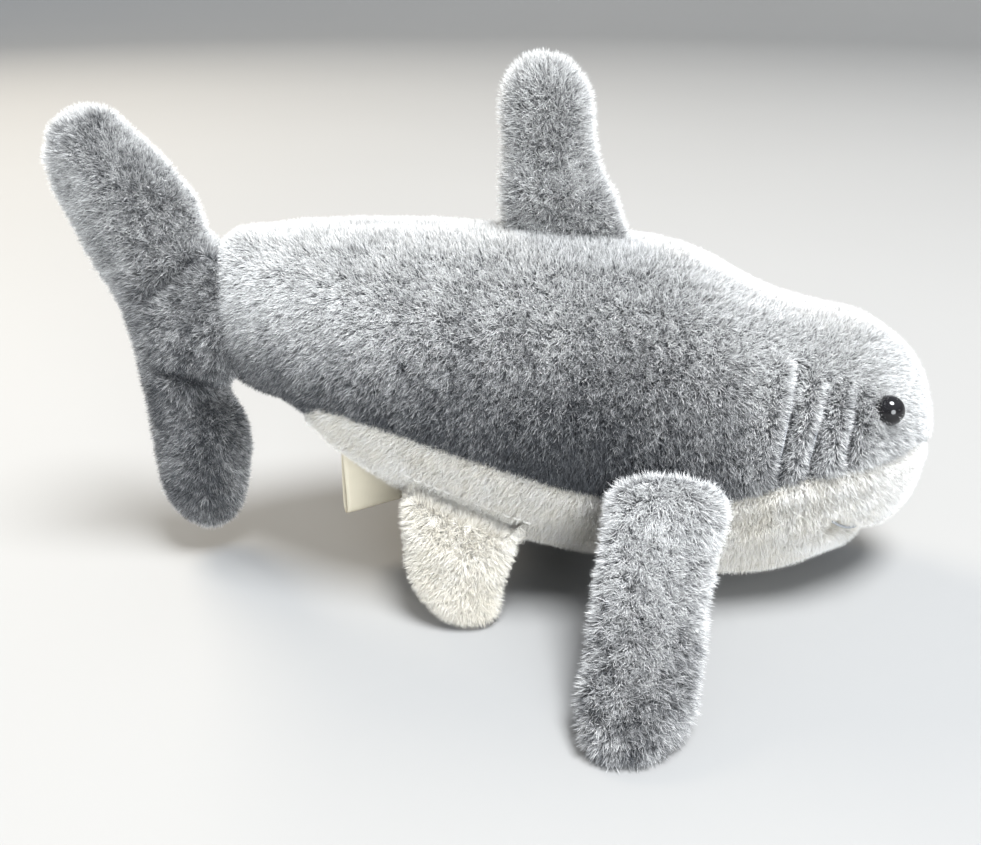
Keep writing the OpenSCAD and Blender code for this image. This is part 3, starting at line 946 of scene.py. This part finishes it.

# Each fin's tone gives its tone at the root and its change to the tip; that change is painted light and
# shade
FINS = {
    "dorsal": {
        "joint": "dorsal_flop",
        "panels": ["dorsal_panel_right", "dorsal_panel_left"],
        "stuffing": "dorsal_stuffing",
        "root": 50 * MM,
        "swell": 6 * MM,
        "plunge": 10 * MM,
        "flare": 11 * MM,
        "nap": 0.5,
        "grow": {"length": 1.1, "lean": 0.4, "scatter": 0.5, "clump": 0.9},
        "tone": (0.88, 0.12),
    },
    "tail": {
        "joint": "tail_wag",
        "panels": ["tail_panel_right", "tail_panel_left"],
        "stuffing": "tail_stuffing",
        "root": 54 * MM,
        "swell": 15 * MM,
        "taper": 2,
        "plunge": 13 * MM,
        "nap": 0.4,
        "grow": {"length": 1.0},
        "tone": (0.36, 0.0),
    },
}
for side in SIDES:
    FINS[f"pectoral_{side}"] = {
        "joint": f"pectoral_lift_{side}",
        "panels": [f"pectoral_upper_panel_{side}", f"pectoral_under_panel_{side}"],
        "stuffing": f"pectoral_stuffing_{side}",
        "root": 46 * MM,
        "swell": 9 * MM,
        "plunge": 2 * MM,
        "arch": 7 * MM,
        "nap": 0.7,
        "grow": {"length": 1.2, "lean": 0.45, "scatter": 0.6, "clump": 1.4, "clump_size": 2.6 * MM},
        "tone": (0.98, -0.60),
    }
    FINS[f"pelvic_{side}"] = {
        "joint": f"pelvic_lift_{side}",
        "panels": [f"pelvic_outer_panel_{side}", f"pelvic_inner_panel_{side}"],
        "stuffing": f"pelvic_stuffing_{side}",
        "root": 44 * MM,
        "swell": 7 * MM,
        "plunge": 5 * MM,
        "broaden": 0.14,
        "nap": 0.7,
        "white": True,
        "grow": {"length": 1.1, "scatter": 0.5, "spread": 0.3},
        "tone": (0.25, -0.25),
    }


def fin_directions(fin):
    """A fin's hinge point, and the ways along its root, out from the body, and through it."""
    joint = JOINTS[fin["joint"]]
    hinge = np.array(joint["pos_m"], float)
    root = np.array(joint["axis"], float)
    root /= np.linalg.norm(root)
    middle = np.mean([points_of(NODES[n].data).mean(0) for n in fin["panels"]], axis=0)
    out = middle - hinge
    out -= root * (out @ root)
    if fin["joint"] == "tail_wag":
        out = np.array([-1.0, 0, 0])
    out /= np.linalg.norm(out)
    return hinge, root, out, np.cross(root, out)


def make_fin(name):
    fin = FINS[name]
    hinge, root, out, through = fin_directions(fin)
    skin = solid_skin(f"{name}_skin", fin["panels"] + [fin["stuffing"]], 1.4 * MM)
    mesh = skin.data
    points = points_of(mesh)
    far, across, along = (points - hinge) @ out, (points - hinge) @ through, (points - hinge) @ root
    round_root = np.sqrt(np.clip(1 - (2 * along / fin["root"]) ** 2, 0, 1))
    near_root = np.clip(1 - far / (18 * MM), 0, 1)
    swell = fin["swell"] * near_root ** fin.get("taper", 1) * round_root
    front = np.clip(along / (0.5 * fin["root"]), 0, 1) ** 2
    points += root * (fin.get("flare", 0.0) * near_root ** 2 * front)[:, None]
    points += root * (fin.get("broaden", 0.0) * along)[:, None]
    points[:, 2] += fin.get("arch", 0.0) * near_root * round_root ** 2
    points += through * (across / (np.abs(across) + 0.4 * MM) * swell)[:, None]
    move_points(mesh, averaged(points, edges_of(mesh), 4))
    sink(mesh, sizes().backing_depth)
    points, normals = points_of(mesh), normals_of(mesh)
    far = (points - hinge) @ out
    sewn = np.ones(len(points))
    if name == "tail":
        sewn = smoothstep(2 - 4 * np.abs((points - hinge) @ root) / fin["root"])
    start = far[sewn > 0.5].min()
    points -= out * (fin["plunge"] * sewn * (1 - smoothstep((far - start) / (9 * MM))))[:, None]
    points += normals * (0.5 * MM * ripple(points, (22 * MM,) * 3, 31))[:, None]
    move_points(mesh, points)
    reach = far.max()
    # Painted light: each fin's tone changes from root to tip by the table's rise, lighter towards the
    # dorsal fin's top edge as a painted rim light, and darker towards the low tips of the pectoral and
    # pelvic fins as painted shade
    base, rise = fin["tone"]
    tone = base + rise * smoothstep(far / reach) + 0.10 * ripple(points, (14 * MM,) * 3, 41)
    pile = np.clip(0.85 + far / (12 * MM), 0.85, 1)
    nap = np.broadcast_to(out, points.shape)
    if name == "tail":
        lobe = np.clip((points[:, 2] - hinge[2]) / (25 * MM), -1, 1)
        creases = tail_creases(mesh)
        # Painted light: the upper lobe lighter than the lower, a painted highlight of rim light along
        # the tail's edges, and painted shade in its folds
        tone += 0.24 * lobe + 0.30 * bell(points[:, 1], 4 * MM) - 0.3 * creases
        pile -= 0.2 * creases
        nap = np.c_[-0.5 * np.ones(len(points)), np.zeros(len(points)), lobe]
    store(mesh, "pile", pile)
    store(mesh, "tone", tone)
    brush(mesh, nap, fin["nap"] / 0.6)
    white = fin.get("white")
    c = colours()
    pile = grow(
        skin,
        f"{name}_pile",
        white_pile() if white else grey_pile(),
        salt=40 + 7 * sorted(FINS).index(name),
        **fin["grow"],
    )
    skin.name = f"{name}_plush"
    knitted = knit("white_backing", c.white_root) if white else knit("grey_backing", c.grey_backing)
    for spare in ("out", "nap", "tone", "pile", "region"):
        mesh.attributes.remove(mesh.attributes[spare])
    body = JOINTS[fin["joint"]]["child"]
    span = (tuple(hinge - out * 2 * MM), tuple(hinge + out * 12 * MM))
    dress(skin, pile, knitted, body, fin["panels"], span)


# Stuffing, face, stitching and label


def make_fill(node, body):
    """Loose fibrefill in place of a solid stuffing."""
    fill = solid_skin(node.replace("stuffing", "fibrefill"), [node], 3.0 * MM)
    mesh = fill.data
    points, out = points_of(mesh), normals_of(mesh)
    lumps = ripple(points, (14 * MM,) * 3, 51)
    move_points(mesh, points - out * (0.8 * MM + 0.5 * MM * lumps)[:, None])
    paint(mesh, loose_fill())
    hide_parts(node)
    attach(fill, body)


def stitch_tree():
    """A row of stitches along a line."""
    web, given, names = open_tree(
        "stitch_row",
        {
            "Line": "Geometry",
            "Stitch": "Object",
            "Count": "Int",
            "Length": "Float",
            "Thread": "Float",
            "Slant": "Float",
            "Seed": "Int",
            "Finish": "Material",
        },
    )
    places = web.node(
        "GeometryNodeCurveToPoints",
        {"mode": "COUNT"},
        {"Curve": given["Line"], "Count": given["Count"]},
    )
    wander = web.chance((-1, -1, -1), (1, 1, 1), given["Seed"])
    way = web.vector("ADD", places.other("Tangent"), web.scaled(wander, given["Slant"]))
    turn = web.node("FunctionNodeAlignRotationToVector", {"axis": "X"}, {"Vector": way})
    size = web.node(
        "ShaderNodeCombineXYZ", values={0: given["Length"], 1: given["Thread"], 2: given["Thread"]}
    )
    stitch = web.node("GeometryNodeObjectInfo", values={"Object": given["Stitch"]}).other("Geometry")
    row = web.node(
        "GeometryNodeInstanceOnPoints",
        values={"Points": places, "Instance": stitch, "Rotation": turn, "Scale": size},
    )
    real = web.node("GeometryNodeRealizeInstances", values={"Geometry": row})
    web.close(real, given["Finish"])
    return web.tree, names


def stitch_shape():
    """One stitch, 1 long and 1 thick, arched and dipping into the cloth at both ends."""
    rings, sides = 7, 6
    points, faces = [], []
    for i in range(rings):
        x = i / (rings - 1) - 0.5
        thick = 0.5 * math.sqrt(max(0.08, 1 - (2 * x) ** 4))
        lift = 0.6 * math.cos(math.pi * x)
        points += [
            (x, thick * math.cos(math.tau * k / sides), lift + thick * math.sin(math.tau * k / sides))
            for k in range(sides)
        ]
    for i in range(rings - 1):
        for k in range(sides):
            a, b = i * sides + k, i * sides + (k + 1) % sides
            faces.append((b, a, a + sides, b + sides))
    faces.append(tuple(range(sides)))
    faces.append(tuple(reversed(range((rings - 1) * sides, rings * sides))))
    mesh = bpy.data.meshes.new("stitch")
    mesh.from_pydata(points, [], faces)
    bm = bmesh.new()
    bm.from_mesh(mesh)
    bmesh.ops.recalc_face_normals(bm, faces=bm.faces)
    bm.to_mesh(mesh)
    bm.free()
    return new_object("stitch", mesh)


# How deep the rows of stitches lie in the fins' roots, and how far apart the stitches are
STITCH_SINK = 5.0 * MM
STITCH_PITCH = 3.2 * MM


def make_root_stitches():
    """The rows of stitches that hold the fins, in place of plain threads."""
    tree, names = stitch_tree()
    stitch = stitch_shape()
    for i, (name, fin) in enumerate(sorted(FINS.items())):
        hinge, root, out, _ = fin_directions(fin)
        prefix, _, side = name.partition("_")
        node = f"{prefix}_root_thread" + (f"_{side}" if side else "")
        solid = points_of(NODES[node].data)
        reach = (solid - hinge) @ root
        middle = solid.mean(0) - out * STITCH_SINK
        ends = [middle + root * (end - reach.mean()) for end in (reach.min(), reach.max())]
        curve = bpy.data.curves.new("root_line", "CURVE")
        curve.dimensions = "3D"
        line = curve.splines.new("POLY")
        line.points.add(1)
        for point, end in zip(line.points, ends):
            point.co = (*end, 1)
        row = bpy.data.objects.new("root_line", curve)
        bpy.context.scene.collection.objects.link(row)
        modifier = row.modifiers.new("stitches", "NODES")
        modifier.node_group = tree
        span = float(np.linalg.norm(ends[1] - ends[0]))
        white = bool(fin.get("white"))
        settings = {
            "Stitch": stitch,
            "Count": max(6, round(span / STITCH_PITCH)),
            "Length": 3.0 * MM,
            "Thread": 0.8 * MM,
            "Slant": 0.22,
            "Seed": 60 + i,
            "Finish": seam_thread(white),
        }
        for title, value in settings.items():
            modifier[names[title]] = value
        graph = bpy.context.evaluated_depsgraph_get()
        mesh = bpy.data.meshes.new_from_object(row.evaluated_get(graph), depsgraph=graph)
        bpy.data.objects.remove(row)
        bpy.data.curves.remove(curve)
        made = new_object(node.replace("thread", "stitches"), mesh)
        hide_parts(node)
        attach(made, "torso")
    discard(stitch)


def make_label():
    """A folded loop of tape that hangs from the belly."""
    solid = points_of(NODES["sewn_in_label"].data)
    centre = solid.mean(0)
    flat = solid[:, :2] - centre[:2]
    values, ways = np.linalg.eigh(flat.T @ flat)
    wide = np.append(ways[:, np.argmax(values)], 0)
    wide *= 1 if wide[0] > 0 else -1
    through = np.cross((0, 0, 1), wide)
    reach = (solid - centre) @ wide
    half = np.ptp(reach) / 2
    centre += wide * (reach.max() + reach.min()) / 2
    top, bottom = solid[:, 2].max(), solid[:, 2].min()
    steps = 22
    side = []
    for i in range(steps + 1):
        down = i / steps
        bow = 2.6 * MM * down ** 1.1 * math.sqrt(max(0.0, 1 - down ** 7))
        side.append((bow + 0.25 * MM * (i < steps), top + (bottom - top) * i / steps))
    loop = side + [(-a, z) for a, z in reversed(side[:-1])]
    across = 12
    points, faces = [], []
    for i, (a, z) in enumerate(loop):
        for j in range(across + 1):
            share = 2 * j / across - 1
            drop = (top - z) / (top - bottom)
            curl = 0.5 * MM * math.sin(2.2 * share + 0.6) * drop
            p = centre + wide * half * share + through * (a + curl)
            points.append((p[0], p[1], z + 0.4 * MM * share ** 2 * drop))
    row = across + 1
    for i in range(len(loop) - 1):
        for j in range(across):
            faces.append((i * row + j, i * row + j + 1, (i + 1) * row + j + 1, (i + 1) * row + j))
    mesh = bpy.data.meshes.new("label_tape")
    mesh.from_pydata(points, [], faces)
    mesh.materials.append(woven_tape())
    label = new_object("label_tape", mesh)
    thick = label.modifiers.new("wall", "SOLIDIFY")
    thick.thickness, thick.offset = 0.3 * MM, 0
    settle(label)
    shade_smooth(label.data)
    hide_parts("sewn_in_label")
    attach(label, "torso")


# The stage


def lamp(name, place, target, size, power, colour):
    data = bpy.data.lights.new(name, "AREA")
    data.shape, data.size, data.energy, data.color = "DISK", size, power, colour
    made = bpy.data.objects.new(name, data)
    bpy.context.scene.collection.objects.link(made)
    made.location = place
    made.rotation_mode = "QUATERNION"
    made.rotation_quaternion = (Vector(target) - Vector(place)).to_track_quat("-Z", "Y")


def make_stage():
    scene = bpy.context.scene
    flat, rise, sides = 2.2, 1.6, 48
    profile = [(0.0, 0.0), (0.8, 0.0), (flat, 0.0)]
    profile += [(flat + math.sin(a), 1 - math.cos(a)) for a in np.linspace(0.1, math.pi / 2, 12)]
    profile.append((flat + 1, rise))
    bm = bmesh.new()
    rings = [
        [
            bm.verts.new((r * math.cos(math.tau * k / sides), r * math.sin(math.tau * k / sides), z))
            for k in range(sides if r else 1)
        ]
        for r, z in profile
    ]
    for inner, outer in zip(rings, rings[1:]):
        for k in range(sides):
            inside = [inner[k % len(inner)], inner[(k + 1) % len(inner)]]
            corners = [inside[0], outer[k], outer[(k + 1) % sides], inside[1]]
            bm.faces.new(list(dict.fromkeys(corners)))
    mesh = bpy.data.meshes.new("studio_floor")
    bm.to_mesh(mesh)
    bm.free()
    mesh.materials.append(studio_floor())
    shade_smooth(mesh)
    new_object("studio_floor", mesh)
    world = bpy.data.worlds.new("studio")
    scene.world = world
    world.use_nodes = True
    background = world.node_tree.nodes["Background"]
    background.inputs["Color"].default_value = (0.86, 0.92, 1.0, 1)
    background.inputs["Strength"].default_value = 0.58
    scene.view_settings.view_transform = "Standard"
    target = (0, 0, 0.07)
    lamp("key", (0.5, -0.5, 2.4), target, 1.1, 145, (0.96, 0.98, 1.0))
    lamp("fill", (0.7, -2.0, 0.5), target, 1.2, 50, (0.93, 0.97, 1.0))
    lamp("rim", (-1.1, 1.1, 1.3), target, 0.9, 36, (1.0, 0.88, 0.70))
    camera = bpy.data.objects.new("camera", bpy.data.cameras.new("camera"))
    scene.collection.objects.link(camera)
    aim = Vector((-0.0046, 0, 0.0525))
    azimuth, elevation, distance = math.radians(2), math.radians(25), 0.377
    back_way = Vector((
        math.sin(azimuth) * math.cos(elevation),
        -math.cos(azimuth) * math.cos(elevation),
        math.sin(elevation),
    ))
    camera.location = aim + back_way * distance
    camera.rotation_mode = "QUATERNION"
    camera.rotation_quaternion = (-back_way).to_track_quat("-Z", "Y")
    camera.data.sensor_width = 36
    camera.data.lens = 38.5
    camera.data.clip_start = 0.01
    scene.camera = camera


# Operators


class SHARK_OT_stage(bpy.types.Operator):
    """Floor, lights and camera"""

    bl_idname = "shark.stage"
    bl_label = "Stage"

    def execute(self, context):
        make_stage()
        return {"FINISHED"}


class SHARK_OT_body(bpy.types.Operator):
    """Side panels and belly panel with their pile"""

    bl_idname = "shark.body"
    bl_label = "Body"

    def execute(self, context):
        make_body()
        return {"FINISHED"}


class SHARK_OT_dorsal_fin(bpy.types.Operator):
    """The fin on the back"""

    bl_idname = "shark.dorsal_fin"
    bl_label = "Dorsal fin"

    def execute(self, context):
        make_fin("dorsal")
        return {"FINISHED"}


class SHARK_OT_tail_fin(bpy.types.Operator):
    """The tail fin with its two lobes"""

    bl_idname = "shark.tail_fin"
    bl_label = "Tail fin"

    def execute(self, context):
        make_fin("tail")
        return {"FINISHED"}


class SHARK_OT_pectoral_fins(bpy.types.Operator):
    """The two fins at the chest"""

    bl_idname = "shark.pectoral_fins"
    bl_label = "Pectoral fins"

    def execute(self, context):
        for side in SIDES:
            make_fin(f"pectoral_{side}")
        return {"FINISHED"}


class SHARK_OT_pelvic_fins(bpy.types.Operator):
    """The two white fins behind"""

    bl_idname = "shark.pelvic_fins"
    bl_label = "Pelvic fins"

    def execute(self, context):
        for side in SIDES:
            make_fin(f"pelvic_{side}")
        return {"FINISHED"}


class SHARK_OT_stuffing(bpy.types.Operator):
    """Fibrefill in the body and the fins"""

    bl_idname = "shark.stuffing"
    bl_label = "Stuffing"

    def execute(self, context):
        make_fill("body_stuffing", "torso")
        for fin in FINS.values():
            make_fill(fin["stuffing"], JOINTS[fin["joint"]]["child"])
        return {"FINISHED"}


class SHARK_OT_face(bpy.types.Operator):
    """Moulded eyes and the washers that hold them"""

    bl_idname = "shark.face"
    bl_label = "Eyes"

    def execute(self, context):
        for side in SIDES:
            paint(NODES[f"eye_{side}"].data, moulded_eye())
            paint(NODES[f"eye_washer_{side}"].data, moulded_washer())
        return {"FINISHED"}


class SHARK_OT_stitching(bpy.types.Operator):
    """Seam threads, gill tucks and the mouth"""

    bl_idname = "shark.stitching"
    bl_label = "Stitching"

    def execute(self, context):
        for node in NODES:
            if "thread" in node and "root" not in node:
                paint(NODES[node].data, seam_thread("belly" in node))
        make_root_stitches()
        return {"FINISHED"}


class SHARK_OT_label(bpy.types.Operator):
    """The folded tape label under the belly"""

    bl_idname = "shark.label"
    bl_label = "Label"

    def execute(self, context):
        make_label()
        return {"FINISHED"}


STEPS = ("stage", "body", "dorsal_fin", "tail_fin", "pectoral_fins", "pelvic_fins",
         "stuffing", "face", "stitching", "label")


class SHARK_PT_panel(bpy.types.Panel):
    """Lists the shark's pieces"""

    bl_idname = "SHARK_PT_panel"
    bl_label = "Plush Shark"
    bl_space_type = "VIEW_3D"
    bl_region_type = "UI"
    bl_category = "Plush Shark"

    def draw(self, context):
        for group in (context.scene.plush_sizes, context.scene.plush_colours):
            for name in group.__annotations__:
                self.layout.prop(group, name)
        for step in STEPS:
            self.layout.operator(f"shark.{step}")


CLASSES = (
    PlushSizes, PlushColours,
    SHARK_OT_stage, SHARK_OT_body, SHARK_OT_dorsal_fin, SHARK_OT_tail_fin, SHARK_OT_pectoral_fins,
    SHARK_OT_pelvic_fins, SHARK_OT_stuffing, SHARK_OT_face, SHARK_OT_stitching, SHARK_OT_label,
    SHARK_PT_panel,
)


def register():
    for cls in CLASSES:
        bpy.utils.register_class(cls)
    bpy.types.Scene.plush_sizes = PointerProperty(type=PlushSizes)
    bpy.types.Scene.plush_colours = PointerProperty(type=PlushColours)


def unregister():
    del bpy.types.Scene.plush_colours
    del bpy.types.Scene.plush_sizes
    for cls in reversed(CLASSES):
        bpy.utils.unregister_class(cls)


def main():
    register()
    for step in STEPS:
        getattr(bpy.ops.shark, step)()
    if PILE:
        discard(PILE.pop("tuft"))


if __name__ == "__main__":
    main()
